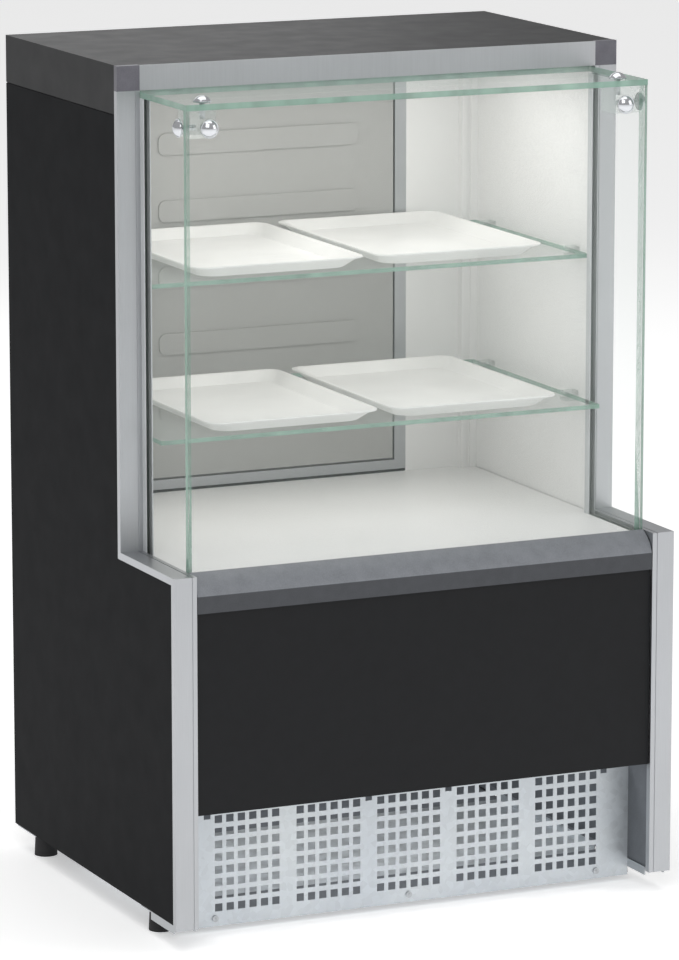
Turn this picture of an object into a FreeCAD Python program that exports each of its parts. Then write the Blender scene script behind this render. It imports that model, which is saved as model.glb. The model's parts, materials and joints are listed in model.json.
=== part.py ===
import FreeCAD, Part
import math
import os

import Sketcher
from FreeCAD import Vector

# Bakery display case, 750 wide, 600 deep and 1175 high. The origin is on the floor at the centre
# of the base, +Z is up, +X is to the right and the customer stands on the -Y side.

DIMENSIONS = {
    # whole case and side panels
    "case_width": 750, "case_depth": 600, "case_height": 1175,
    "side_thick": 33, "floor_gap": 28, "panel_bottom": 34,
    "upper_setback": 186, "ledge_height": 513, "cover_skirt": 66, "seam_gap": 1.5,
    "sheet_thick": 1, "skin_inset": 1.5, "liner_inset": 1.5,
    # aluminium edge profile
    "profile_depth": 10, "profile_wall": 1.5, "profile_web": 2,
    "groove_inset": 6, "groove_width": 1.6, "groove_depth": 0.9, "edge_play": 0.5,
    "beam_height": 34, "beam_depth": 20,
    # glass
    "glass_thick": 8, "glass_setback": 30, "top_glass_height": 1131, "glass_play": 1,
    "slot_depth": 9, "lid_lap": 16, "seal_width": 12, "seal_thick": 1.5,
    "connector_size": 38, "screw_inset": 34, "screw_drop": 25, "screw_back": 54, "screw_grip": 14,
    "screw_head_radius": 12.5, "screw_head_height": 9, "screw_shank_radius": 4, "dome_rim": 2,
    # shelves, trays and deck
    "deck_fold": 22,
    "shelf_thick": 6, "shelf_back": 545, "deck_height": 508,
    "lower_shelf_height": 665, "lower_shelf_front": 143, "lower_shelf_width": 663,
    "upper_shelf_height": 871, "upper_shelf_front": 190, "upper_shelf_width": 671,
    "clip_length": 16, "clip_grip": 9, "clip_thick": 4, "front_clip": 239, "rear_clip": 505,
    "tray_width": 256, "tray_depth": 360, "tray_height": 16, "tray_wall": 2, "tray_rim": 3,
    "tray_gap": 18, "tray_shift": 9.5, "tray_inset": 10, "tray_corner": 18, "tray_slope": 15,
    "tray_base_corner": 26,
    # front of the base
    "bumper_nose": 486, "bumper_bottom": 462, "bumper_wall": 2.5, "nose_radius": 48,
    "front_panel_recess": 5, "front_panel_bottom": 184, "front_panel_fold": 15,
    "grille_setback": 63, "grille_bottom": 10, "grille_top": 168, "grille_thick": 1.2,
    "grille_hole": 11, "hole_pitch_across": 17, "hole_pitch_up": 17.7, "first_row": 36,
    "block_pitch": 121.5, "grille_fold": 14, "notch_width": 10, "notch_depth": 7,
    "outer_notch": 302, "inner_notch": 60.75, "plate_screw_across": 291, "plate_screw_rise": 11,
    "plate_screw_head": 4.5, "plate_screw_dome": 2.5, "plate_screw_radius": 2, "plate_screw_length": 10,
    # base
    "rail_depth": 72, "rail_thick": 1.5, "pan_half": 328, "pan_front": 137, "pan_back": 446,
    "pan_lip": 12, "pan_thick": 1.2, "upstand_height": 20, "foot_radius": 16.5, "foot_taper": 1.5,
    "foot_inset": 25, "front_foot": 114, "rear_foot": 540, "stud_radius": 4, "plate_thick": 2,
    "plate_lip": 10,
    # rear wall and door
    "rear_wall_thick": 30, "rear_fold": 20, "corner_strip": 25, "strip_depth": 13,
    "rebate_inset": 8, "rebate_width": 6, "rebate_depth": 2,
    "door_half_width": 213, "door_bottom": 529, "door_top": 1100, "door_gap": 3,
    "frame_face": 18, "frame_sill": 14, "frame_wall": 2, "liner_thick": 1.2, "gasket_thick": 1.5,
    "rib_length": 312, "rib_height": 31, "rib_rise": 2.5, "rib_pitch": 96, "first_rib": 627,
    "rib_corner": 10, "hinge_inset": 10, "hinge_back": 6, "pin_radius": 3, "pin_play": 0.05,
    "bush_radius": 5, "pin_length": 12, "pivot_plate": 1.2,
    "handle_width": 60, "handle_height": 130, "handle_depth": 20, "handle_inset": 28,
    # lamp and electrics
    "lamp_length": 600, "lamp_width": 22, "lamp_height": 12, "lamp_back": 244, "lamp_wall": 1.5,
    "driver_length": 140, "driver_front": 20, "driver_depth": 40, "driver_height": 24,
    "ceiling_height": 1139, "ceiling_fold": 20, "rear_panel_recess": 10, "rear_panel_fold": 15,
    "switch_across": 250, "switch_height": 430, "rocker_width": 20, "rocker_height": 12,
    "rocker_rise": 3, "rocker_depth": 10, "rocker_round": 7.4, "rocker_play": 0.9,
    "bezel_border": 4, "bezel_rise": 2.5, "bezel_depth": 22,
    "inlet_width": 30, "inlet_height": 34, "inlet_drop": 80, "inlet_depth": 28,
    "vent_length": 80, "vent_height": 6, "vent_pitch_across": 110, "vent_pitch_up": 22, "first_vent": 90,
}

COUNTS = {
    "grille_columns": 6, "grille_rows": 8, "grille_blocks": 5, "rib_count": 5,
    "vent_columns": 5, "vent_rows": 6,
}


class Size:
    """A driving size, or a sum of them: the expression on the sheet, and its value in mm."""

    def __init__(self, text, value):
        self.text = text
        self.value = value

    @staticmethod
    def of(item):
        return item if isinstance(item, Size) else Size(str(item), float(item))

    def __add__(self, other):
        other = Size.of(other)
        return Size(f"({self.text} + {other.text})", self.value + other.value)

    def __sub__(self, other):
        other = Size.of(other)
        return Size(f"({self.text} - {other.text})", self.value - other.value)

    def __rsub__(self, other):
        return Size.of(other) - self

    def __mul__(self, other):
        other = Size.of(other)
        return Size(f"({self.text} * {other.text})", self.value * other.value)

    def __truediv__(self, other):
        other = Size.of(other)
        return Size(f"({self.text} / {other.text})", self.value / other.value)

    def __neg__(self):
        return Size(f"(0 - {self.text})", -self.value)

    __radd__ = __add__
    __rmul__ = __mul__


class Sheet:
    """The driving sizes by name."""


doc = FreeCAD.newDocument("BakeryDisplayCase")
sheet = doc.addObject("Spreadsheet::Sheet", "Sizes")
s = Sheet()
for row, (alias, value) in enumerate({**DIMENSIONS, **COUNTS}.items(), start=1):
    sheet.set(f"A{row}", alias)
    sheet.set(f"B{row}", str(value))
    sheet.setAlias(f"B{row}", alias)
    setattr(s, alias, Size(f"Sizes.{alias}", float(value)))
doc.recompute()

nodes = {}


def node(name, item):
    """Makes item the sub-part called name."""
    item.Label = name
    nodes[name] = item
    return item


def bind(item, prop, size):
    item.setExpression(prop, Size.of(size).text)


def place(item, x=0, y=0, z=0):
    for axis, size in zip("xyz", (x, y, z)):
        bind(item, f"Placement.Base.{axis}", size)


def box(x, y, z):
    """A block between the two ends given for each axis."""
    item = doc.addObject("Part::Box", "Block")
    for prop, (low, high) in zip(("Length", "Width", "Height"), (x, y, z)):
        bind(item, prop, Size.of(high) - low)
    place(item, x[0], y[0], z[0])
    return item


TURNS = {"x": ((0, 1, 0), 90), "-x": ((0, 1, 0), -90), "y": ((1, 0, 0), -90), "-y": ((1, 0, 0), 90)}


def turn(item, direction):
    """Turns an item built along +Z towards another axis."""
    if direction in TURNS:
        axis, angle = TURNS[direction]
        item.Placement.Rotation = FreeCAD.Rotation(Vector(*axis), angle)


def rod(start, direction, radius, length):
    """A round bar from start along direction."""
    item = doc.addObject("Part::Cylinder", "Rod")
    bind(item, "Radius", radius)
    bind(item, "Height", length)
    turn(item, direction)
    place(item, *start)
    return item


def dome(start, direction, radius, height):
    """A domed screw head: a short rim and a spherical cap, standing on start."""
    rim = rod(start, direction, radius, s.dome_rim)
    ball_radius = (radius * radius + height * height) / (height * 2)
    ball = doc.addObject("Part::Sphere", "Ball")
    bind(ball, "Radius", ball_radius)
    lift = height - ball_radius
    offset = {"x": (1, 0, 0), "-x": (-1, 0, 0), "-y": (0, -1, 0), "z": (0, 0, 1)}[direction]
    place(ball, *(Size.of(base) + lift * step for base, step in zip(start, offset)))
    cap = doc.addObject("Part::Common", "Cap")
    cap.Base = ball
    cap.Tool = rod(start, direction, radius, height)
    return fuse(rim, cap)


def cut(base, *tools):
    item = doc.addObject("Part::Cut", "Cut")
    item.Base = base
    item.Tool = fuse(*tools) if len(tools) > 1 else tools[0]
    return item


def fuse(*shapes):
    item = doc.addObject("Part::MultiFuse", "Fuse")
    item.Shapes = list(shapes)
    return item


def group(*items):
    """Separate solids that share one node."""
    item = doc.addObject("Part::Compound", "Group")
    item.Links = list(items)
    return item


def shell(x, y, z, inner_x, inner_y, inner_z):
    return cut(box(x, y, z), box(inner_x, inner_y, inner_z))


class Arc:
    """The next point of an outline, reached by an arc that bulges to the right of the way."""

    def __init__(self, across, up, radius):
        self.point = (across, up)
        self.radius = radius


def arc_centre(start, end, radius):
    half = (end - start) / 2
    left = Vector(-half.y, half.x, 0).normalize()
    return start + half + left * math.sqrt(radius**2 - half.Length**2)


def angle_of(vector):
    return math.atan2(vector.y, vector.x)


def draw(sketch, outline):
    """Draws a closed outline whose every corner is held by the sheet's sizes."""
    corners = [item.point if isinstance(item, Arc) else item for item in outline]
    points = [Vector(Size.of(across).value, Size.of(up).value, 0) for across, up in corners]
    count = len(points)
    for index, point in enumerate(points):
        following = outline[(index + 1) % count]
        end = points[(index + 1) % count]
        if isinstance(following, Arc):
            radius = Size.of(following.radius)
            centre = arc_centre(point, end, radius.value)
            circle = Part.Circle(centre, Vector(0, 0, 1), radius.value)
            edge = Part.ArcOfCircle(circle, angle_of(point - centre), angle_of(end - centre))
        else:
            edge = Part.LineSegment(point, end)
        sketch.addGeometry(edge)
    for index, (across, up) in enumerate(corners):
        previous = (index - 1) % count
        sketch.addConstraint(Sketcher.Constraint("Coincident", previous, 2, index, 1))
        for kind, size in (("DistanceX", across), ("DistanceY", up)):
            size = Size.of(size)
            held = sketch.addConstraint(Sketcher.Constraint(kind, -1, 1, index, 1, size.value))
            sketch.setExpression(f"Constraints[{held}]", size.text)
    for index in range(count):
        following = outline[(index + 1) % count]
        if isinstance(following, Arc):
            radius = Size.of(following.radius)
            held = sketch.addConstraint(Sketcher.Constraint("Radius", index, radius.value))
            sketch.setExpression(f"Constraints[{held}]", radius.text)


def origin_part(body, role):
    return next(item for item in body.Origin.OriginFeatures if item.Role == role)


def new_sketch(body, plane, outline, lift=None):
    sketch = body.newObject("Sketcher::SketchObject", "Outline")
    sketch.AttachmentSupport = [(origin_part(body, plane), "")]
    sketch.MapMode = "FlatFace"
    if lift is not None:
        bind(sketch, "AttachmentOffset.Base.z", lift)
    draw(sketch, outline)
    return sketch


def prism(plane, outline, low, high):
    """An outline in the YZ, XZ or XY plane, padded from low to high along the third axis."""
    body = doc.addObject("PartDesign::Body", "Prism")
    pad = body.newObject("PartDesign::Pad", "Pad")
    pad.Profile = new_sketch(body, f"{plane}_Plane", outline)
    bind(pad, "Length", Size.of(high) - low)
    # The XZ plane of a body looks along -Y, so its pad starts at the high end.
    offset = {"YZ": (low, 0, 0), "XZ": (0, high, 0), "XY": (0, 0, low)}[plane]
    place(body, *offset)
    return body


def loft(sections):
    """A solid through outlines in the XY plane, each given with its height."""
    body = doc.addObject("PartDesign::Body", "Lofted")
    feature = body.newObject("PartDesign::AdditiveLoft", "Loft")
    drawn = [new_sketch(body, "XY_Plane", outline, height) for outline, height in sections]
    feature.Profile = drawn[0]
    feature.Sections = drawn[1:]
    feature.Ruled = True
    body.Tip = feature
    return body


def rounded_rectangle(left, right, front, back, radius):
    """A rectangle with round corners, counterclockwise."""
    return [
        Arc(left + radius, front, radius), (right - radius, front),
        Arc(right, front + radius, radius), (right, back - radius),
        Arc(right - radius, back, radius), (left + radius, back),
        Arc(left, back - radius, radius), (left, front + radius),
    ]


SIDES = {"left": -1, "right": 1}


def across(sign, near, far):
    """The X range between two distances from the middle, on the left or the right side."""
    if sign > 0:
        return (Size.of(near), Size.of(far))
    return (-Size.of(far), -Size.of(near))


half = s.case_width / 2
front = -s.case_depth / 2
back = s.case_depth / 2
setback = front + s.upper_setback
top = s.case_height
inner = half - s.side_thick
skin_out = half - s.skin_inset
skin_in = skin_out - s.sheet_thick
liner_in = inner + s.liner_inset
liner_out = liner_in + s.sheet_thick
block_bottom = top - s.beam_height
skin_top = top - s.cover_skirt - s.seam_gap
edge_front = front + s.profile_web + s.edge_play
edge_ledge = s.ledge_height - s.profile_web - s.edge_play
edge_setback = setback + s.profile_web + s.edge_play
wall_inside = back - s.rear_wall_thick
cover_under = top - s.sheet_thick
grille_face = front + s.grille_setback
grille_back = grille_face + s.grille_thick
rail_front = grille_back + s.edge_play
between_feet = half - s.foot_inset - s.foot_radius - s.edge_play


def stepped(bottom, height, rear):
    """Side view of a side panel: deep below the ledge, set back above it."""
    return [
        (edge_front, bottom), (rear, bottom), (rear, height), (edge_setback, height),
        (edge_setback, edge_ledge), (edge_front, edge_ledge),
    ]


def make_side(name, sign):
    """Black skin, foam core, white upper liner and dark base liner of one side."""
    skin_range = across(sign, skin_in, skin_out)
    core_range = across(sign, liner_out, skin_in)
    liner_range = across(sign, liner_in, liner_out)
    sheet_bottom = s.panel_bottom + s.sheet_thick
    skin = fuse(
        prism("YZ", stepped(s.panel_bottom, skin_top, back), *skin_range),
        box(core_range, (back - s.sheet_thick, back), (s.panel_bottom, skin_top)),
        box(core_range, (edge_front, back), (s.panel_bottom, sheet_bottom)),
    )
    node(f"side_panel_{name}", skin)
    core_top = top - s.profile_web - s.edge_play
    core = prism("YZ", stepped(sheet_bottom, core_top, back - s.sheet_thick), *core_range)
    node(f"side_core_{name}", core)
    deck_under = s.deck_height - s.sheet_thick
    liner = box(liner_range, (edge_setback, back - s.sheet_thick), (deck_under, core_top))
    node(f"side_liner_{name}", liner)
    flange_back = wall_inside - s.pan_thick * 2
    flange = box(
        across(sign, s.pan_half + s.edge_play, liner_out), (rail_front, flange_back),
        (s.panel_bottom, sheet_bottom),
    )
    wall = box(liner_range, (edge_front, back - s.sheet_thick), (s.panel_bottom, deck_under))
    return fuse(wall, flange)


base_liners = [make_side(name, sign) for name, sign in SIDES.items()]
node("base_liners", group(*base_liners))


def edge_profile(name, sign, member, outline, channel, groove):
    """One mitred length of the aluminium edge profile, open towards the panel it covers."""
    outer = prism("YZ", outline, *across(sign, inner, half))
    inside = across(sign, inner + s.profile_wall, half - s.profile_wall)
    line = across(sign, inner + s.groove_inset, inner + s.groove_inset + s.groove_width)
    hollow = prism("YZ", channel, *inside)
    slit = prism("YZ", groove, *line)
    node(f"{member}_{name}", cut(outer, hollow, slit))


def make_profiles(name, sign):
    """Lower post, ledge rail and upper post of one side, mitred where they meet."""
    depth = s.profile_depth
    web = s.profile_web
    rise = s.ledge_height
    cut_past = depth + 1
    post_inside = front + depth
    upper_inside = setback + depth
    ledge_inside = rise - depth
    edge_profile(
        name, sign, "lower_post",
        [(front, s.floor_gap), (post_inside, s.floor_gap), (post_inside, ledge_inside), (front, rise)],
        [(front + web, s.floor_gap - 1), (front + cut_past, s.floor_gap - 1),
         (front + cut_past, rise - cut_past), (front + web, rise - web)],
        [(front - 1, s.floor_gap - 1), (front + s.groove_depth, s.floor_gap - 1),
         (front + s.groove_depth, rise - s.groove_depth), (front - 1, rise + 1)],
    )
    edge_profile(
        name, sign, "ledge_rail",
        [(front, rise), (post_inside, ledge_inside), (upper_inside, ledge_inside), (setback, rise)],
        [(front + web, rise - web), (front + cut_past, rise - cut_past),
         (setback + cut_past, rise - cut_past), (setback + web, rise - web)],
        [(front - 1, rise + 1), (front + s.groove_depth, rise - s.groove_depth),
         (setback + s.groove_depth, rise - s.groove_depth), (setback - 1, rise + 1)],
    )
    edge_profile(
        name, sign, "upper_post",
        [(setback, rise), (upper_inside, ledge_inside),
         (upper_inside, block_bottom), (setback, block_bottom)],
        [(setback + web, rise - web), (setback + cut_past, rise - cut_past),
         (setback + cut_past, block_bottom + 1), (setback + web, block_bottom + 1)],
        [(setback - 1, rise + 1), (setback + s.groove_depth, rise - s.groove_depth),
         (setback + s.groove_depth, block_bottom + 1), (setback - 1, block_bottom + 1)],
    )
    cap = shell(
        across(sign, inner, half), (setback, upper_inside), (block_bottom, top),
        across(sign, inner + s.profile_wall, half - s.profile_wall),
        (setback + web, upper_inside + 1), (block_bottom - 1, top - web),
    )
    node(f"corner_block_{name}", cap)


for side_name, side_sign in SIDES.items():
    make_profiles(side_name, side_sign)


def make_top():
    """Aluminium beam over the glass, black folded cover, white ceiling tray and its lamp."""
    beam_back = setback + s.beam_depth
    web = s.profile_web
    wall = s.profile_wall
    beam = prism("YZ", [
        (setback, block_bottom), (beam_back, block_bottom), (beam_back, cover_under),
        (setback + web, cover_under), (setback + web, top), (setback, top),
    ], -inner, inner)
    hollow = box(
        (-inner - 1, inner + 1), (setback + web, beam_back - wall),
        (block_bottom + wall, cover_under - wall),
    )
    node("top_beam", cut(beam, hollow))
    corner_back = setback + s.profile_depth + s.edge_play
    cover_top = prism("XY", [
        (-inner, setback + web), (inner, setback + web), (inner, corner_back), (skin_out, corner_back),
        (skin_out, back), (-skin_out, back), (-skin_out, corner_back), (-inner, corner_back),
    ], cover_under, top)
    skirts = [
        box(across(sign, skin_in, skin_out), (corner_back, back), (top - s.cover_skirt, top))
        for sign in SIDES.values()
    ]
    rear_skirt = box((-skin_out, skin_out), (back - s.sheet_thick, back), (block_bottom, top))
    node("top_cover", fuse(cover_top, rear_skirt, *skirts))
    ceiling_span = liner_in - s.edge_play
    ceiling_front = beam_back + web
    ceiling_top = s.ceiling_height + s.ceiling_fold
    ceiling = shell(
        (-ceiling_span, ceiling_span), (ceiling_front, wall_inside), (s.ceiling_height, ceiling_top),
        (-ceiling_span + s.sheet_thick, ceiling_span - s.sheet_thick),
        (ceiling_front + s.sheet_thick, wall_inside - s.sheet_thick),
        (s.ceiling_height + s.sheet_thick, ceiling_top + 1),
    )
    node("ceiling_panel", ceiling)
    lamp_front = front + s.lamp_back
    lamp_end = s.lamp_length / 2
    lamp_bottom = s.ceiling_height - s.lamp_height
    inside_x = (-lamp_end + s.lamp_wall, lamp_end - s.lamp_wall)
    inside_y = (lamp_front + s.lamp_wall, lamp_front + s.lamp_width - s.lamp_wall)
    node("lamp_housing", shell(
        (-lamp_end, lamp_end), (lamp_front, lamp_front + s.lamp_width), (lamp_bottom, s.ceiling_height),
        inside_x, inside_y, (lamp_bottom - 1, s.ceiling_height - s.lamp_wall),
    ))
    diffuser_low = lamp_bottom + s.edge_play
    node("lamp_diffuser", box(inside_x, inside_y, (diffuser_low, diffuser_low + s.lamp_wall)))
    driver_end = s.driver_length / 2
    driver_floor = s.ceiling_height + s.sheet_thick
    node("lamp_driver", box(
        (-driver_end, driver_end), (s.driver_front, s.driver_front + s.driver_depth),
        (driver_floor, driver_floor + s.driver_height),
    ))


make_top()

glass_front = front + s.glass_setback
glass_behind = glass_front + s.glass_thick
glass_top = s.top_glass_height + s.glass_thick
side_glass_out = inner - s.glass_play
side_glass_in = side_glass_out - s.glass_thick
slot_floor = s.ledge_height - s.slot_depth
screw_across = inner - s.screw_inset
screw_height = s.top_glass_height - s.screw_drop
screw_depth = front + s.screw_back
screw_length = s.glass_thick + s.screw_grip


def screw_shanks(sign):
    """The three screws of one glass corner, through front, top and side glass."""
    outward = "x" if sign > 0 else "-x"
    inward = "-x" if sign > 0 else "x"
    heads = [
        ((sign * screw_across, glass_front, screw_height), "-y", "y"),
        ((sign * screw_across, screw_depth, glass_top), "z", None),
        ((sign * side_glass_out, screw_depth, screw_height), outward, inward),
    ]
    shanks = []
    domes = []
    for start, out, back_in in heads:
        domes.append(dome(start, out, s.screw_head_radius, s.screw_head_height))
        if back_in is None:
            low = (start[0], start[1], start[2] - screw_length)
            shanks.append(rod(low, "z", s.screw_shank_radius, screw_length))
        else:
            shanks.append(rod(start, back_in, s.screw_shank_radius, screw_length))
    return domes, shanks


def make_glass():
    """Front, top and side glass, the blocks and screws of their corners, and the seals."""
    domes = {}
    shanks = {}
    for name, sign in SIDES.items():
        domes[name], shanks[name] = screw_shanks(sign)
    span = (-side_glass_out - s.edge_play, side_glass_out + s.edge_play)
    pane = box(span, (glass_front, glass_behind), (slot_floor, s.top_glass_height))
    node("front_glass", cut(pane, shanks["left"][0], shanks["right"][0]))
    lid = box(span, (glass_front - s.glass_play, setback + s.lid_lap), (s.top_glass_height, glass_top))
    node("top_glass", cut(lid, shanks["left"][1], shanks["right"][1]))
    for name, sign in SIDES.items():
        pane = box(
            across(sign, side_glass_in, side_glass_out), (glass_behind, setback - s.seal_thick),
            (s.deck_height, s.top_glass_height),
        )
        node(f"side_glass_{name}", cut(pane, shanks[name][2]))
        block = box(
            across(sign, side_glass_in - s.connector_size, side_glass_in),
            (glass_behind, glass_behind + s.connector_size),
            (s.top_glass_height - s.connector_size, s.top_glass_height),
        )
        node(f"corner_connector_{name}", cut(block, *shanks[name]))
    screws = [
        fuse(head, shank)
        for name in SIDES
        for head, shank in zip(domes[name], shanks[name])
    ]
    node("connector_screws", group(*screws))
    seal_front = setback - s.seal_width
    seals = [
        shell(
            across(sign, side_glass_in - s.seal_thick, inner), (seal_front, setback),
            (s.deck_height, s.top_glass_height),
            across(sign, side_glass_in, side_glass_out), (seal_front - 1, setback - s.seal_thick),
            (s.deck_height - 1, s.top_glass_height + 1),
        )
        for sign in SIDES.values()
    ]
    node("glass_seals", group(*seals))


make_glass()


def shelf_clip(sign, y, height, edge):
    """A small metal clip on the side wall that grips the edge of a shelf."""
    reach = s.clip_length / 2
    return shell(
        across(sign, edge - s.clip_grip, liner_in), (y - reach, y + reach),
        (height - s.clip_thick, height + s.shelf_thick + s.clip_thick),
        across(sign, edge - s.clip_grip - 1, edge + 1), (y - reach - 1, y + reach + 1),
        (height, height + s.shelf_thick),
    )


SHELVES = {
    "upper": (s.upper_shelf_height, s.upper_shelf_front, s.upper_shelf_width),
    "lower": (s.lower_shelf_height, s.lower_shelf_front, s.lower_shelf_width),
}


def make_shelves():
    """Two glass shelves, each in four clips."""
    clips = []
    for name, (height, shelf_front, width) in SHELVES.items():
        edge = width / 2
        depth = (front + shelf_front, front + s.shelf_back)
        node(f"shelf_{name}", box((-edge, edge), depth, (height, height + s.shelf_thick)))
        for sign in SIDES.values():
            clips.append(shelf_clip(sign, front + s.front_clip, height, edge))
            clips.append(shelf_clip(sign, front + s.rear_clip, height, edge))
    node("shelf_clips", group(*clips))


make_shelves()


def tray(left, front_edge, floor):
    """A shallow moulded tray with sloping walls and a flat rim."""
    right = left + s.tray_width
    back_edge = front_edge + s.tray_depth
    rim = s.tray_rim
    wall = s.tray_wall
    slope = s.tray_slope
    high = floor + s.tray_height

    def ring(inset, radius):
        return rounded_rectangle(
            left + inset, right - inset, front_edge + inset, back_edge - inset, radius
        )

    corner = s.tray_corner
    base_corner = s.tray_base_corner
    outside = loft([(ring(rim + slope, base_corner), floor), (ring(rim, corner), high)])
    plate = prism("XY", ring(Size.of(0), corner + rim), high - wall, high)
    inside = loft([
        (ring(rim + slope + wall, base_corner - wall), floor + wall),
        (ring(rim + wall, corner - wall), high),
    ])
    return cut(fuse(outside, plate), inside)


def make_trays():
    """Four loose trays, two on each shelf."""
    for shelf, (height, shelf_front, _) in SHELVES.items():
        edge = front + shelf_front + s.tray_inset
        floor = height + s.shelf_thick
        lefts = {
            "left": s.tray_shift - s.tray_gap / 2 - s.tray_width,
            "right": s.tray_shift + s.tray_gap / 2,
        }
        for name, left in lefts.items():
            node(f"tray_{shelf}_{name}", tray(left, edge, floor))


make_trays()


def make_deck():
    """Folded deck sheet under the lowest display space."""
    span = side_glass_out + s.edge_play
    deck_front = glass_behind + s.bumper_wall + s.edge_play
    deck_low = s.deck_height - s.deck_fold
    deck = shell(
        (-span, span), (deck_front, wall_inside), (deck_low, s.deck_height),
        (-span + s.sheet_thick, span - s.sheet_thick),
        (deck_front + s.sheet_thick, wall_inside - s.sheet_thick),
        (deck_low - 1, s.deck_height - s.sheet_thick),
    )
    node("deck_panel", deck)


make_deck()


def make_bumper():
    """Hollow bull-nose extrusion between the lower posts, with the slot of the front glass."""
    crest = s.ledge_height
    wall = s.bumper_wall
    lip_back = glass_behind + wall
    lip_top = s.deck_height - s.edge_play
    web_back = glass_behind - wall
    slot_under = slot_floor - wall
    solid = prism("YZ", [
        Arc(front, s.bumper_nose, s.nose_radius), (front, s.bumper_bottom), (web_back, s.bumper_bottom),
        (web_back, slot_under), (lip_back, slot_under), (lip_back, lip_top), (glass_behind, lip_top),
        (glass_behind, slot_floor), (glass_front, slot_floor), (glass_front, crest),
        (glass_front - wall, crest),
    ], -side_glass_out, side_glass_out)
    hollow = prism("YZ", [
        (front + wall, s.bumper_bottom + wall), (web_back - wall, s.bumper_bottom + wall),
        (web_back - wall, slot_under - wall), (glass_front - wall, slot_under),
        (front + wall, s.bumper_nose - wall),
    ], -half, half)
    node("bumper", cut(solid, hollow))


make_bumper()


def make_front_panel():
    """Black folded front panel, open at the back."""
    sheet_thick = s.sheet_thick
    span = side_glass_out + s.edge_play
    face = front + s.front_panel_recess
    high = s.bumper_bottom - s.edge_play
    node("front_panel", shell(
        (-span, span), (face, face + s.front_panel_fold), (s.front_panel_bottom, high),
        (-span + sheet_thick, span - sheet_thick), (face + sheet_thick, face + s.front_panel_fold + 1),
        (s.front_panel_bottom + sheet_thick, high - sheet_thick),
    ))


make_front_panel()

screw_rise = s.grille_bottom + s.plate_screw_rise
screw_places = [-s.plate_screw_across, Size.of(0), s.plate_screw_across]


def notched_plate():
    """Outline of the grille with the notches of its top edge."""
    span = side_glass_out
    outline = [(-span, s.grille_bottom), (span, s.grille_bottom), (span, s.grille_top)]
    for middle in (s.outer_notch, s.inner_notch, -s.inner_notch, -s.outer_notch):
        notch_right = middle + s.notch_width / 2
        notch_left = middle - s.notch_width / 2
        notch_floor = s.grille_top - s.notch_depth
        outline += [
            (notch_right, s.grille_top), (notch_right, notch_floor),
            (notch_left, notch_floor), (notch_left, s.grille_top),
        ]
    return outline + [(-span, s.grille_top)]


def pad_in(body, outline, length, reverse=False):
    """Adds a pad on the XZ plane to a body, towards -Y, or towards +Y when reversed."""
    pad = body.newObject("PartDesign::Pad", "Pad")
    pad.Profile = new_sketch(body, "XZ_Plane", outline)
    pad.Reversed = reverse
    bind(pad, "Length", length)
    return pad


def grille_plate():
    """Galvanised plate with a fold along its bottom and five blocks of square holes."""
    span = side_glass_out
    body = doc.addObject("PartDesign::Body", "Grille")
    pad_in(body, notched_plate(), s.grille_thick)
    fold_top = s.grille_bottom + s.grille_thick
    pad_in(body, [
        (-span, s.grille_bottom), (span, s.grille_bottom), (span, fold_top), (-span, fold_top),
    ], s.grille_fold, reverse=True)
    block_width = s.hole_pitch_across * (s.grille_columns - 1) + s.grille_hole
    left = -(s.block_pitch * (s.grille_blocks - 1) + block_width) / 2
    low = s.first_row - s.grille_hole / 2
    pocket = body.newObject("PartDesign::Pocket", "Hole")
    pocket.Profile = new_sketch(body, "XZ_Plane", [
        (left, low), (left + s.grille_hole, low), (left + s.grille_hole, low + s.grille_hole),
        (left, low + s.grille_hole),
    ])
    pocket.Midplane = True
    bind(pocket, "Length", s.grille_thick * 3)
    many = body.newObject("PartDesign::MultiTransform", "Holes")
    many.Originals = [pocket]
    steps = []
    for axis, pitch, count in (
        ("X_Axis", s.hole_pitch_across, s.grille_columns),
        ("Z_Axis", s.hole_pitch_up, s.grille_rows),
        ("X_Axis", s.block_pitch, s.grille_blocks),
    ):
        pattern = body.newObject("PartDesign::LinearPattern", "Row")
        pattern.Direction = (origin_part(body, axis), [""])
        bind(pattern, "Length", pitch * (count - 1))
        bind(pattern, "Occurrences", count)
        steps.append(pattern)
    many.Transformations = steps
    body.Tip = many
    place(body, 0, grille_back, 0)
    return body


def make_grille():
    """Perforated grille with its three screws, and the rail behind it."""
    shanks = [
        rod((middle, grille_face, screw_rise), "y", s.plate_screw_radius, s.plate_screw_length)
        for middle in screw_places
    ]
    heads = [
        dome((middle, grille_face, screw_rise), "-y", s.plate_screw_head, s.plate_screw_dome)
        for middle in screw_places
    ]
    node("grille", cut(grille_plate(), *shanks))
    node("grille_screws", group(*(fuse(head, shank) for head, shank in zip(heads, shanks))))
    rail_low = s.grille_bottom + s.grille_thick + s.edge_play
    rail_back = rail_front + s.rail_depth
    rail = shell(
        (-between_feet, between_feet), (rail_front, rail_back), (rail_low, s.floor_gap + s.rail_thick),
        (-half, half), (rail_front + s.rail_thick, rail_back + 1),
        (rail_low + s.rail_thick, s.floor_gap),
    )
    node("front_cross_rail", cut(rail, *shanks))


make_grille()


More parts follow.
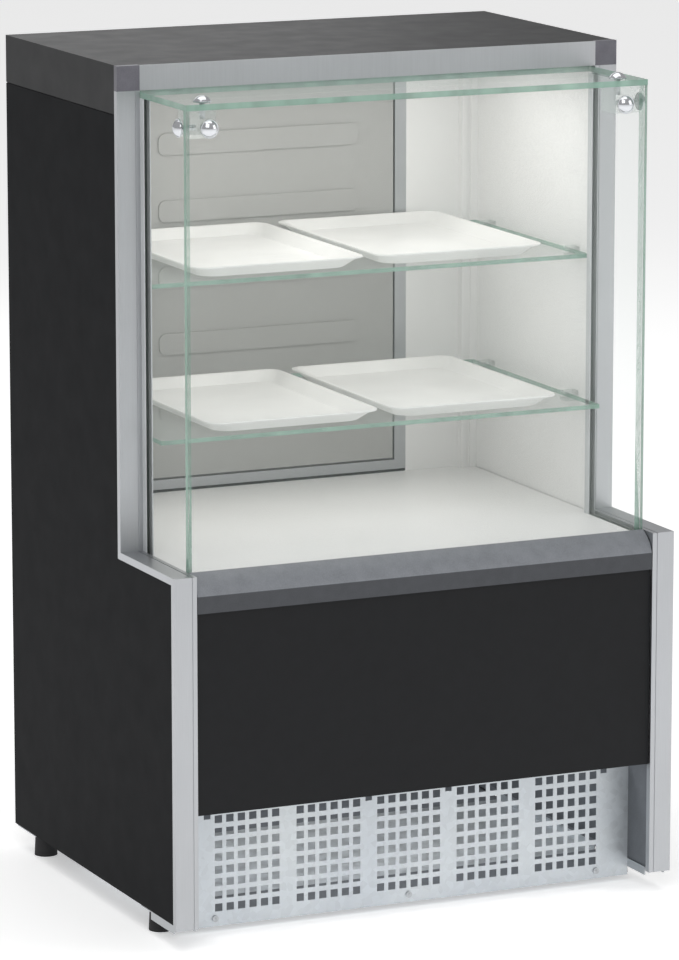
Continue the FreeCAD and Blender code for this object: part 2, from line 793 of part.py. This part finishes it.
def make_base():
    """Galvanised base pan with raised side lips, rear base plate, foot plates and feet."""
    pan_front = front + s.pan_front
    pan_back = front + s.pan_back
    thick = s.pan_thick
    node("base_pan", shell(
        (-s.pan_half, s.pan_half), (pan_front, pan_back), (s.floor_gap, s.floor_gap + s.pan_lip),
        (-s.pan_half + thick, s.pan_half - thick), (pan_front - 1, pan_back + 1),
        (s.floor_gap + thick, s.floor_gap + s.pan_lip + 1),
    ))
    span = (-between_feet, between_feet)
    rear_plate = box(span, (pan_back + s.edge_play, wall_inside), (s.floor_gap, s.floor_gap + thick))
    upstand = box(span, (wall_inside - thick, wall_inside), (s.floor_gap, s.floor_gap + s.upstand_height))
    node("rear_base_plate", fuse(rear_plate, upstand))
    plates = []
    feet = []
    plate_bottom = s.panel_bottom - s.plate_thick
    plate_in = inner - 1
    plate_out = half - 2
    for sign in SIDES.values():
        foot_x = sign * (half - s.foot_inset)
        for foot_y, low_y, high_y in (
            (front + s.front_foot, front + 12, front + s.front_foot + 14),
            (front + s.rear_foot, front + s.rear_foot - 18, back - 8),
        ):
            plate = box(across(sign, plate_in, plate_out), (low_y, high_y), (plate_bottom, s.panel_bottom))
            stud = rod((foot_x, foot_y, plate_bottom), "z", s.stud_radius, s.plate_thick)
            pad = foot_body(foot_x, foot_y, plate_bottom)
            if foot_y.value < 0:
                lips = (low_y, foot_y - s.foot_radius - 5)
                drop = (plate_bottom - s.plate_lip, plate_bottom)
                plate = fuse(
                    plate, box(across(sign, plate_out - s.plate_thick, plate_out), lips, drop),
                    box(across(sign, plate_in, plate_in + s.plate_thick), lips, drop),
                )
            plates.append(cut(plate, stud))
            feet.append(fuse(pad, stud))
    node("foot_plates", group(*plates))
    node("feet", group(*feet))


def foot_body(x, y, height):
    """Round foot, slightly wider at the floor."""
    item = doc.addObject("Part::Cone", "Foot")
    bind(item, "Radius1", s.foot_radius)
    bind(item, "Radius2", s.foot_radius - s.foot_taper)
    bind(item, "Height", height)
    place(item, x, y, 0)
    return item


make_base()

opening_half = s.door_half_width + s.door_gap
opening_low = s.door_bottom - s.door_gap
opening_high = s.door_top + s.door_gap
frame_half = opening_half + s.frame_face
frame_low = opening_low - s.frame_sill
frame_high = opening_high + s.frame_face
hinge_x = -s.door_half_width + s.hinge_inset
hinge_y = back - s.hinge_back


def make_rear_wall():
    """Door frame, white inner panels with their corner strips, and black outer panels."""
    sheet_thick = s.sheet_thick
    tube = s.frame_wall
    wall = (wall_inside, back)
    hollow = (wall_inside + tube, back - tube)
    uprights = [
        shell(
            across(sign, opening_half, frame_half), wall, (frame_low, frame_high),
            across(sign, opening_half + tube, frame_half - tube), hollow, (frame_low - 1, frame_high + 1),
        )
        for sign in SIDES.values()
    ]
    rail_span = (-opening_half, opening_half)
    open_ends = (-opening_half - 1, opening_half + 1)
    rails = [
        shell(rail_span, wall, (low, high), open_ends, hollow, (low + tube, high - tube))
        for low, high in ((frame_low, opening_low), (opening_high, frame_high))
    ]
    node("door_frame", group(*uprights, *rails))
    strip = liner_in - s.corner_strip
    rebate = strip + s.rebate_inset
    strip_face = wall_inside - s.strip_depth
    inner_rise = (s.deck_height, s.ceiling_height)
    outer_top = block_bottom - 1
    panel_edge = liner_in - s.edge_play
    fold = (back - s.rear_fold, back)
    fold_inside = (back - s.rear_fold - 1, back - sheet_thick)
    liners = []
    panels = []
    for sign in SIDES.values():
        wall_sheet = (wall_inside, wall_inside + sheet_thick)
        sheet_panel = box(across(sign, frame_half, strip), wall_sheet, inner_rise)
        corner = box(across(sign, strip, liner_in), (strip_face, wall_inside + sheet_thick), inner_rise)
        groove = box(
            across(sign, rebate, rebate + s.rebate_width), (strip_face - 1, strip_face + s.rebate_depth),
            (s.deck_height - 1, s.ceiling_height + 1),
        )
        liners.append(fuse(sheet_panel, cut(corner, groove)))
        panels.append(shell(
            across(sign, frame_half, panel_edge), fold, (frame_low, outer_top),
            across(sign, frame_half + sheet_thick, panel_edge - sheet_thick), fold_inside,
            (frame_low + sheet_thick, outer_top - sheet_thick),
        ))
    header = shell(
        (-frame_half, frame_half), fold, (frame_high, outer_top),
        (-frame_half + sheet_thick, frame_half - sheet_thick), fold_inside,
        (frame_high + sheet_thick, outer_top - sheet_thick),
    )
    node("rear_liners", group(*liners))
    node("rear_panels", group(*panels, header))


def vent_slots():
    """Rows of louvre slots low in the rear panel."""
    columns = COUNTS["vent_columns"]
    slots = []
    for column in range(columns):
        for row in range(COUNTS["vent_rows"]):
            low = s.first_vent + s.vent_pitch_up * row
            middle = s.vent_pitch_across * (column - (columns - 1) / 2)
            slots.append(box(
                (middle - s.vent_length / 2, middle + s.vent_length / 2),
                (back - s.rear_wall_thick, back), (low, low + s.vent_height),
            ))
    return slots


rear_face = back - s.rear_panel_recess


def around(middle, size, border=0):
    """The range of the given size about a middle, with a border added at both ends."""
    reach = Size.of(size) / 2 + border
    return (middle - reach, middle + reach)


def make_rear_lower():
    """Recessed lower rear panel with vents, power inlet and lamp switch."""
    face = rear_face
    span = liner_in - s.edge_play
    sheet_thick = s.sheet_thick
    panel_top = frame_low - s.edge_play
    panel = shell(
        (-span, span), (face - s.rear_panel_fold, face), (s.panel_bottom, panel_top),
        (-span + sheet_thick, span - sheet_thick), (face - s.rear_panel_fold - 1, face - sheet_thick),
        (s.panel_bottom + sheet_thick, panel_top - sheet_thick),
    )
    middle = s.switch_across
    height = s.switch_height
    body_border = s.bezel_border / 2
    body_x = around(middle, s.rocker_width, body_border)
    body_z = around(height, s.rocker_height, body_border)
    well = box(
        around(middle, s.rocker_width, s.rocker_play), (face - s.rocker_depth - 3, face + 4),
        around(height, s.rocker_height, s.rocker_play),
    )
    collar = box(
        around(middle, s.rocker_width, s.bezel_border), (face, face + s.bezel_rise),
        around(height, s.rocker_height, s.bezel_border),
    )
    node("switch_bezel", cut(fuse(collar, box(body_x, (face - s.bezel_depth, face), body_z)), well))
    inlet_middle = height - s.inlet_drop
    inlet_x = around(middle, s.inlet_width)
    inlet_z = around(inlet_middle, s.inlet_height)
    inlet = shell(
        inlet_x, (face - s.inlet_depth, face + 3), inlet_z,
        around(middle, s.inlet_width, -3), (face - 14, face + 4), around(inlet_middle, s.inlet_height, -6),
    )
    blades = [
        box(around(middle + shift, 2), (face - 14, face - 2), around(inlet_middle, 6))
        for shift in (-7, 0, 7)
    ]
    node("power_inlet", fuse(inlet, *blades))
    through = (face - 5, face + 1)
    openings = [box(body_x, through, body_z), box(inlet_x, through, inlet_z)]
    node("rear_lower_panel", cut(panel, *vent_slots(), *openings))
    rocker = box(
        around(middle, s.rocker_width), (face + s.rocker_rise - s.rocker_depth, face + s.rocker_rise),
        around(height, s.rocker_height),
    )
    pivot_y = face - 2.5
    shaped = doc.addObject("Part::Common", "Rocker")
    shaped.Base = rocker
    shaped.Tool = rod(
        (middle - s.rocker_width, pivot_y, height), "x", s.rocker_round, s.rocker_width * 2
    )
    node("switch_rocker", shaped)


make_rear_wall()
make_rear_lower()


def pivot_rods(radius, length_out):
    """Rods on the hinge line at the foot and head of the door, length_out beyond its ends."""
    total = s.pin_length + length_out
    return [
        rod((hinge_x, hinge_y, s.door_bottom - length_out), "z", radius, total),
        rod((hinge_x, hinge_y, s.door_top - s.pin_length), "z", radius, total),
    ]


def make_door():
    """Hollow rear door: black outer tray, ribbed inner panel, gasket, cup handle and pivots."""
    span = s.door_half_width
    sheet_thick = s.sheet_thick
    low = s.door_bottom
    high = s.door_top
    inside = wall_inside + s.liner_thick
    pins = pivot_rods(s.pin_radius, s.door_gap)
    bores = pivot_rods(s.pin_radius + s.pin_play, s.door_gap)
    bush_holes = pivot_rods(s.bush_radius, 0)
    tray_shell = shell(
        (-span, span), (inside, back), (low, high),
        (-span + sheet_thick, span - sheet_thick), (inside - 1, back - sheet_thick),
        (low + sheet_thick, high - sheet_thick),
    )
    cup_x = (span - s.handle_inset - s.handle_width, span - s.handle_inset)
    cup_z = around((low + high) / 2, s.handle_height)
    cup_y = (back - s.handle_depth, back)
    node("door_shell", cut(tray_shell, box(cup_x, (back - 5, back + 1), cup_z), *bush_holes))
    inside_x = (cup_x[0] + 2, cup_x[1] - 2)
    inside_z = (cup_z[0] + 2, cup_z[1] - 2)
    cup = shell(cup_x, cup_y, cup_z, inside_x, (cup_y[0] + 2, back + 1), inside_z)
    lip = box((inside_x[0], inside_x[0] + 14), (back - 3, back), inside_z)
    node("door_handle", fuse(cup, lip))
    liner = doc.addObject("PartDesign::Body", "DoorLiner")
    plate = liner.newObject("PartDesign::Pad", "Plate")
    sheet_outline = [(-span, low), (span, low), (span, high), (-span, high)]
    plate.Profile = new_sketch(liner, "XZ_Plane", sheet_outline)
    bind(plate, "Length", s.liner_thick)
    rib = liner.newObject("PartDesign::Pad", "Rib")
    rib_outline = rounded_rectangle(
        *around(Size.of(0), s.rib_length), *around(s.first_rib, s.rib_height), s.rib_corner
    )
    rib.Profile = new_sketch(liner, "XZ_Plane", rib_outline)
    bind(rib, "Length", s.liner_thick + s.rib_rise)
    pattern = liner.newObject("PartDesign::LinearPattern", "Ribs")
    pattern.Originals = [rib]
    pattern.Direction = (origin_part(liner, "Z_Axis"), [""])
    bind(pattern, "Length", s.rib_pitch * (s.rib_count - 1))
    bind(pattern, "Occurrences", s.rib_count)
    liner.Tip = pattern
    place(liner, 0, inside, 0)
    node("door_liner", liner)
    seal = s.gasket_thick
    gasket = shell(
        (-span - seal, span + seal), (wall_inside + 3, wall_inside + 9), (low - seal, high + seal),
        (-span, span), (wall_inside + 2, wall_inside + 10), (low, high),
    )
    node("door_gasket", gasket)
    node("hinge_bushes", group(*(cut(hole, bore) for hole, bore in zip(bush_holes, bores))))
    plates = [
        box((hinge_x - 8, hinge_x + 14), (hinge_y - 10, back - 1), ends)
        for ends in (
            (opening_low, opening_low + s.pivot_plate), (opening_high - s.pivot_plate, opening_high),
        )
    ]
    node("hinge_pivots", group(*(fuse(plate, pin) for plate, pin in zip(plates, pins))))


make_door()

doc.recompute()
for item in doc.Objects:
    bad = {"Invalid", "Error"} & set(item.State)
    if bad:
        raise RuntimeError(f"{item.Name} ({item.Label}): {item.State}")
for name, item in nodes.items():
    if item.Shape.isNull() or not item.Shape.isValid() or not item.Shape.Solids:
        raise RuntimeError(f"{name}: no valid solid")

os.makedirs("parts", exist_ok=True)
for name, item in nodes.items():
    item.Shape.exportStep(f"parts/{name}.step")
whole = Part.makeCompound([item.Shape for item in nodes.values()])
print(len(nodes), "nodes", whole.BoundBox)
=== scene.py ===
import json
import math

import bmesh
import bpy
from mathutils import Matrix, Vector


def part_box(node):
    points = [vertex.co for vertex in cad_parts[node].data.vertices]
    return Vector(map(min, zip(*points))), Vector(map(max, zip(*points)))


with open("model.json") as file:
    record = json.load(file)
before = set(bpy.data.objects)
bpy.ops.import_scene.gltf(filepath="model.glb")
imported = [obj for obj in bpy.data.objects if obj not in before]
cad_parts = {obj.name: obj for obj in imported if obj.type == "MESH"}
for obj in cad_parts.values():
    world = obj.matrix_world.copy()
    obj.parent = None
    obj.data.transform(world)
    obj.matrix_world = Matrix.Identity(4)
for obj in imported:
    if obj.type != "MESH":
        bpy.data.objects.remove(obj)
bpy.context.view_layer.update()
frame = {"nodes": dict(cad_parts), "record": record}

NODES = frame["nodes"]

# Colour helpers


def linear(red, green, blue):
    """A scene-linear colour from 8-bit display values."""
    out = []
    for value in (red, green, blue):
        value /= 255
        out.append(value / 12.92 if value <= 0.04045 else ((value + 0.055) / 1.055) ** 2.4)
    return (*out, 1.0)


def shade(colour, amount):
    """A lighter or darker version of a linear colour."""
    return tuple(min(1.0, part * amount) for part in colour[:3]) + (1.0,)


def grey(value):
    return (value, value, value, 1.0)


WHITE = grey(1.0)


class Surface:
    """A node material with helpers for procedural colour, roughness and relief."""

    def __init__(self, name, **constants):
        self.material = bpy.data.materials.new(name)
        self.material.use_nodes = True
        self.tree = self.material.node_tree
        self.shader = self.tree.nodes["Principled BSDF"]
        self.coordinates = self.add("ShaderNodeTexCoord")
        for socket, value in constants.items():
            self.shader.inputs[socket.replace("_", " ")].default_value = value

    def add(self, kind, **settings):
        item = self.tree.nodes.new(kind)
        for key, value in settings.items():
            setattr(item, key, value)
        return item

    def link(self, source, target):
        self.tree.links.new(source, target)

    def feed(self, item, socket, value):
        """Sets an input to a constant, or links it to another node's output."""
        if isinstance(value, (int, float, tuple)):
            item.inputs[socket].default_value = value
        else:
            self.link(value, item.inputs[socket])

    def place(self, stretch=(1, 1, 1)):
        """Object coordinates in metres, stretched."""
        mapping = self.add("ShaderNodeMapping")
        mapping.inputs["Scale"].default_value = stretch
        self.link(self.coordinates.outputs["Object"], mapping.inputs["Vector"])
        return mapping.outputs["Vector"]

    def split(self, vector):
        """The X, Y and Z outputs of a vector."""
        item = self.add("ShaderNodeSeparateXYZ")
        self.link(vector, item.inputs["Vector"])
        return item.outputs

    def noise(self, scale, detail=3, stretch=(1, 1, 1)):
        item = self.add("ShaderNodeTexNoise")
        item.inputs["Scale"].default_value = scale
        item.inputs["Detail"].default_value = detail
        self.link(self.place(stretch), item.inputs["Vector"])
        return item.outputs["Fac"]

    def spread(self, fac, low, high, start=0.3, end=0.7):
        """Maps a factor between start and end to numbers between low and high."""
        item = self.add("ShaderNodeMapRange")
        for key, value in (("From Min", start), ("From Max", end), ("To Min", low), ("To Max", high)):
            item.inputs[key].default_value = value
        self.link(fac, item.inputs["Value"])
        return item.outputs["Result"]

    def ramp(self, fac, *stops):
        item = self.add("ShaderNodeValToRGB")
        elements = item.color_ramp.elements
        for element, (position, colour) in zip(elements, stops):
            element.position = position
            element.color = colour
        self.link(fac, item.inputs["Fac"])
        return item.outputs["Color"]

    def mix(self, fac, first, second, mode="MIX"):
        item = self.add("ShaderNodeMix", data_type="RGBA", blend_type=mode)
        fac_socket, first_socket, second_socket, colour_output = 0, 6, 7, 2
        self.feed(item, fac_socket, fac)
        self.feed(item, first_socket, first)
        self.feed(item, second_socket, second)
        return item.outputs[colour_output]

    def tinted(self, first, second):
        """Two colours multiplied."""
        return self.mix(1.0, first, second, "MULTIPLY")

    def calculate(self, operation, first, second=0.0):
        item = self.add("ShaderNodeMath", operation=operation)
        self.feed(item, 0, first)
        self.feed(item, 1, second)
        return item.outputs["Value"]

    def colour(self, source):
        self.link(source, self.shader.inputs["Base Color"])

    def alpha(self, source):
        self.link(source, self.shader.inputs["Alpha"])

    def rough(self, fac, low, high, start=0.3, end=0.7):
        self.link(self.spread(fac, low, high, start, end), self.shader.inputs["Roughness"])

    def bump(self, height, distance, strength=1.0):
        item = self.add("ShaderNodeBump")
        item.inputs["Strength"].default_value = strength
        item.inputs["Distance"].default_value = distance
        self.link(height, item.inputs["Height"])
        self.link(item.outputs["Normal"], self.shader.inputs["Normal"])

    def worn_edges(self, base, worn, amount):
        """Lightens convex edges by pointiness, broken up with noise."""
        geometry = self.add("ShaderNodeNewGeometry")
        nearly_flat, sharp = 0.52, 0.58
        edge = self.spread(geometry.outputs["Pointiness"], 0.0, amount, nearly_flat, sharp)
        broken = self.calculate("MULTIPLY", edge, self.spread(self.noise(60, 4), 0.2, 1.0))
        return self.mix(broken, base, worn)


# Materials, with noise scales per metre and relief in metres


def painted(name, rgb, roughness=0.42, specular=0.3, wear=0.25):
    """Powder-coated sheet: faint orange peel, slow colour drift and worn edges."""
    drift_scale, gloss_scale, speck_scale, peel_scale, peel_height = 3.5, 24, 700, 1400, 0.000004
    base = linear(*rgb)
    item = Surface(name, Specular_IOR_Level=specular)
    drift = item.ramp(item.noise(drift_scale, 4), (0.25, shade(base, 0.96)), (0.75, shade(base, 1.04)))
    specks = item.ramp(item.noise(speck_scale, 1), (0.45, grey(0.93)), (0.6, grey(1.06)))
    body = item.tinted(drift, specks)
    item.colour(item.worn_edges(body, shade(base, 1.8), wear) if wear else body)
    item.rough(item.noise(gloss_scale), roughness - 0.02, roughness + 0.03)
    item.bump(item.noise(peel_scale, 2), peel_height)
    return item


def painted_shade_band_paint(name, upper, lower, height):
    """Paint with a darker band below a height, painted shade for a lower face that gets less light from
    above.
    """
    item = painted(name, upper, 0.4)
    body = item.shader.inputs["Base Color"].links[0].from_socket
    # Band under the crease that is darkened as painted shade
    below = item.calculate("LESS_THAN", item.split(item.coordinates.outputs["Object"])["Z"], height)
    darker = tuple(low / high for low, high in zip(linear(*lower), linear(*upper)))
    item.colour(item.tinted(body, item.mix(below, WHITE, darker)))
    return item


def brushed(name, rgb, roughness=0.34, stretch=(1, 1, 0.02), contrast=0.06):
    """Drawn or brushed metal with fine streaks along one axis."""
    streak_scale, streak_height, cloud_scale = 900, 0.00002, 5
    base = linear(*rgb)
    item = Surface(name, Metallic=1.0)
    streaks = item.noise(streak_scale, stretch=stretch)
    body = item.ramp(streaks, (0.3, shade(base, 1 - contrast)), (0.7, shade(base, 1 + contrast)))
    cloud = item.ramp(item.noise(cloud_scale), (0.3, grey(0.95)), (0.7, grey(1.03)))
    item.colour(item.tinted(body, cloud))
    item.rough(streaks, roughness - 0.05, roughness + 0.06)
    item.bump(streaks, streak_height, 0.4)
    return item


def galvanised(name, rgb, roughness=0.42):
    """Hot-dip zinc: spangles that differ a little in tone and gloss."""
    spangle_scale, cloud_scale, grain_scale, grain_height = 110, 7, 400, 0.00003
    base = linear(*rgb)
    item = Surface(name, Metallic=0.75)
    cells = item.add("ShaderNodeTexVoronoi", feature="F1")
    cells.inputs["Scale"].default_value = spangle_scale
    item.link(item.place(), cells.inputs["Vector"])
    channels = item.add("ShaderNodeSeparateColor")
    item.link(cells.outputs["Color"], channels.inputs["Color"])
    tone = channels.outputs["Red"]
    body = item.ramp(tone, (0.0, shade(base, 0.93)), (1.0, shade(base, 1.07)))
    cool, warm = (0.92, 0.93, 0.95, 1), (1.04, 1.04, 1.03, 1)
    cloud = item.ramp(item.noise(cloud_scale, 4), (0.3, cool), (0.7, warm))
    item.colour(item.tinted(body, cloud))
    item.rough(tone, roughness - 0.06, roughness + 0.08, 0, 1)
    item.bump(item.noise(grain_scale, 2), grain_height, 0.5)
    return item


def moulded(name, rgb, roughness=0.5, grain=700, relief=0.00004, wear=0.0, uneven=0.06):
    """Moulded plastic or rubber with a fine grain."""
    cloud_scale, gloss_scale = 9, 40
    base = linear(*rgb)
    item = Surface(name)
    body = item.ramp(item.noise(cloud_scale, 4), (0.3, shade(base, 0.94)), (0.7, shade(base, 1.06)))
    item.colour(item.worn_edges(body, shade(base, 1.5), wear) if wear else body)
    item.rough(item.noise(gloss_scale), roughness - uneven, roughness + uneven)
    item.bump(item.noise(grain, 2), relief)
    return item


def clear_plastic(name, rgb):
    """Clear acrylic with faint flow marks."""
    base = linear(*rgb)
    item = Surface(name, Roughness=0.08, IOR=1.49)
    flow = item.noise(160)
    item.colour(item.ramp(flow, (0.3, shade(base, 0.9)), (0.7, base)))
    item.alpha(item.spread(flow, 0.18, 0.32))
    return item


def glass(name, face_axis, painted_sheen):
    """Float glass: nearly clear through its faces except for a whitish film of painted sheen that stands
    in for its reflection, green in its cut edges, with a breath of dust.
    """
    face_tint, edge_tint = linear(232, 243, 238), linear(132, 166, 151)
    edge_cover, dust, on_face = 0.82, 0.03, 0.7
    item = Surface(name, Roughness=0.02, IOR=1.5)
    geometry = item.add("ShaderNodeNewGeometry")
    facing = item.calculate("ABSOLUTE", item.split(geometry.outputs["True Normal"])[face_axis])
    on_edge = item.calculate("LESS_THAN", facing, on_face)
    streaks = item.noise(30, stretch=(1, 1, 0.2))
    edge = item.ramp(streaks, (0.3, shade(edge_tint, 0.8)), (0.7, shade(edge_tint, 1.25)))
    face = item.ramp(item.noise(6, 5), (0.35, shade(face_tint, 0.96)), (0.75, face_tint))
    item.colour(item.mix(on_edge, face, edge))
    # Painted sheen: a whitish cover in the face colour standing in for reflection, raised a little by
    # noise as dust
    sheen_and_dust = item.spread(item.noise(4, 5), painted_sheen, painted_sheen + dust, 0.35, 0.75)
    item.alpha(item.calculate("MAXIMUM", sheen_and_dust, item.calculate("MULTIPLY", on_edge, edge_cover)))
    return item


BLACK = (22, 23, 25)
BUMPER_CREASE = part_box("bumper")[0].z + 0.0235
EVEN = (1, 1, 1)
surfaces = {
    "black_paint": painted("black_paint", BLACK, 0.46, specular=0.2),
    # Side panels: a less reflective copy of the black paint, painted shade that stands in for dim
    # surroundings on that side
    "side_paint": painted("side_paint", BLACK, 0.55, specular=0.04),
    "base_paint": painted("base_paint", (92, 96, 101), 0.5),
    "white_paint": painted("white_paint", (240, 240, 239), 0.38, wear=0.0),
    "grey_liner": painted("grey_liner", (172, 172, 170), 0.4, wear=0.0),
    "foam": moulded("foam", (40, 40, 42), 0.9, 300, 0.0003),
    "anodised": brushed("anodised", (186, 188, 191), 0.38, contrast=0.035),
    "corner_grey": painted("corner_grey", (100, 99, 106), 0.38),
    # Bumper: the face below the crease is darkened as painted shade, standing in for less light from above
    "bumper_grey": painted_shade_band_paint("bumper_grey", (122, 125, 130), (66, 68, 72), BUMPER_CREASE),
    "galvanised": galvanised("galvanised", (205, 210, 214)),
    "chrome": brushed("chrome", (216, 218, 222), 0.12, EVEN, contrast=0.02),
    "tray_white": moulded("tray_white", (240, 240, 238), 0.32, 900, 0.000001, uneven=0.012),
    "clear_plastic": clear_plastic("clear_plastic", (226, 236, 232)),
    "seal_grey": moulded("seal_grey", (196, 199, 201), 0.55),
    "gasket_black": moulded("gasket_black", (28, 28, 30), 0.7),
    "black_plastic": moulded("black_plastic", (30, 31, 33), 0.55, 900, 0.00006, 0.2),
    "switch_plastic": moulded("switch_plastic", (36, 36, 38), 0.25, 500, 0.00001, 0.2),
    "diffuser": moulded("diffuser", (242, 242, 238), 0.6),
    "white_plastic": moulded("white_plastic", (228, 228, 226), 0.5),
    "foot_rubber": moulded("foot_rubber", (34, 34, 36), 0.75, 350, 0.0001, 0.3),
    "pivot_steel": brushed("pivot_steel", (184, 187, 190), 0.35),
}

# Each pane's face axis and how much its whitish film of painted sheen covers, a stand-in for reflection
# that is heaviest on the top glass
PANES = {
    "front_glass": ("Y", 0.035), "top_glass": ("Z", 0.2),
    "side_glass_left": ("X", 0.04), "side_glass_right": ("X", 0.04),
    "shelf_upper": ("Z", 0.12), "shelf_lower": ("Z", 0.12),
}
SIDE_PANELS = ("side_panel_left", "side_panel_right")


def dress(node, surface):
    slots = NODES[node].data.materials
    slots.clear()
    slots.append(surface.material)


for row in frame["record"]["subparts"]:
    node = row["node"]
    if node in PANES:
        dress(node, glass(f"glass_{node}", *PANES[node]))
    elif node in SIDE_PANELS:
        dress(node, surfaces["side_paint"])
    else:
        dress(node, surfaces[row["material_slot"]])

# Softened edges, by width in metres

BEVEL_ANGLE = math.radians(40)
BEVELS = {
    0.0012: ("lower_post_left", "lower_post_right", "upper_post_left", "upper_post_right",
             "ledge_rail_left", "ledge_rail_right", "corner_block_left", "corner_block_right"),
    0.0015: ("top_cover", "bumper", "corner_connector_left", "corner_connector_right"),
    0.0006: ("front_glass", "top_glass", "side_glass_left", "side_glass_right", "shelf_upper",
             "shelf_lower", "grille_screws", "shelf_clips", "door_frame", "switch_bezel", "switch_rocker"),
    0.0004: ("tray_upper_left", "tray_upper_right", "tray_lower_left", "tray_lower_right",
             "base_pan", "side_panel_left", "side_panel_right", "front_panel", "door_shell",
             "rear_panels", "rear_lower_panel", "door_handle", "power_inlet", "door_liner"),
}
for width, nodes in BEVELS.items():
    for node in nodes:
        bevel = NODES[node].modifiers.new("edge", "BEVEL")
        bevel.width = width
        bevel.segments = 2
        bevel.limit_method = "ANGLE"
        bevel.angle_limit = BEVEL_ANGLE
        bevel.harden_normals = True

# Floor


def floor_material(rgb, roughness, glow):
    base = linear(*rgb)
    item = Surface("floor", Roughness=roughness, Emission_Color=WHITE, Emission_Strength=glow)
    item.colour(item.ramp(item.noise(1.2), (0.3, shade(base, 0.99)), (0.7, base)))
    return item.material


def make_floor(half_width=60, cells=8):
    """A wide pale floor."""
    mesh = bpy.data.meshes.new("floor")
    work = bmesh.new()
    bmesh.ops.create_grid(work, x_segments=cells, y_segments=cells, size=half_width)
    work.to_mesh(mesh)
    work.free()
    item = bpy.data.objects.new("floor", mesh)
    bpy.context.scene.collection.objects.link(item)
    item.data.materials.append(floor_material((252, 252, 252), roughness=0.9, glow=0.4))


make_floor()

# Lights, with places in metres and powers in watts


def area_light(name, location, target, size, power, tone=(1, 1, 1), seen=True):
    data = bpy.data.lights.new(name, "AREA")
    data.shape = "RECTANGLE"
    data.size, data.size_y = size
    data.energy = power
    data.color = tone
    item = bpy.data.objects.new(name, data)
    item.location = location
    item.rotation_euler = (Vector(target) - Vector(location)).to_track_quat("-Z", "Y").to_euler()
    item.visible_camera = seen
    bpy.context.scene.collection.objects.link(item)


def light_under(name, node, gap, y, size, power, tone):
    """A hidden light that shines down from just under a part inside the case."""
    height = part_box(node)[0].z - gap
    area_light(name, (0, y, height), (0, y, 0), size, power, tone, seen=False)


area_light("key", (-2.2, -3.4, 4.2), (0, 0, 0.5), (3.2, 3.2), 60)
area_light("fill", (4.0, -2.6, 2.4), (0, 0, 0.6), (3.0, 3.0), 40)
area_light("top", (0, 0.4, 4.6), (0, 0, 0), (4.0, 4.0), 60)
area_light("back", (0.5, 4.6, 2.6), (0, 0, 0.8), (3.5, 2.0), 20)

LAMP_TONE = (1.0, 0.985, 0.96)
light_under("under_top", "lamp_diffuser", 0.0075, 0.03, (0.55, 0.26), 0.8, LAMP_TONE)
light_under("under_upper_shelf", "shelf_upper", 0.009, 0.05, (0.55, 0.3), 0.45, LAMP_TONE)
light_under("under_lower_shelf", "shelf_lower", 0.01, 0.03, (0.55, 0.34), 0.4, LAMP_TONE)
light_under("base_fill", "deck_panel", 0.026, 0.0, (0.6, 0.3), 2.4, (1, 1, 1))

WORLD_STRENGTH = 0.42
world = bpy.data.worlds.new("studio")
world.use_nodes = True
background = world.node_tree.nodes["Background"]
background.inputs["Color"].default_value = WHITE
background.inputs["Strength"].default_value = WORLD_STRENGTH
bpy.context.scene.world = world

# Camera

CAMERA_PLACE = Vector((-3.0079, -6.5662, 1.9984))
CAMERA_YAW = math.radians(24.6389)
CAMERA_TILT = math.radians(11.2483)
FOCAL_LENGTH = 196.9
SENSOR_WIDTH = 36

camera_data = bpy.data.cameras.new("camera")
camera_data.sensor_fit = "AUTO"
camera_data.sensor_width = SENSOR_WIDTH
camera_data.lens = FOCAL_LENGTH
camera = bpy.data.objects.new("camera", camera_data)
camera.location = CAMERA_PLACE
look = Vector((
    math.sin(CAMERA_YAW) * math.cos(CAMERA_TILT),
    math.cos(CAMERA_YAW) * math.cos(CAMERA_TILT),
    -math.sin(CAMERA_TILT),
))
camera.rotation_euler = look.to_track_quat("-Z", "Y").to_euler()
bpy.context.scene.collection.objects.link(camera)
bpy.context.scene.camera = camera

bpy.context.scene.view_settings.view_transform = "Standard"
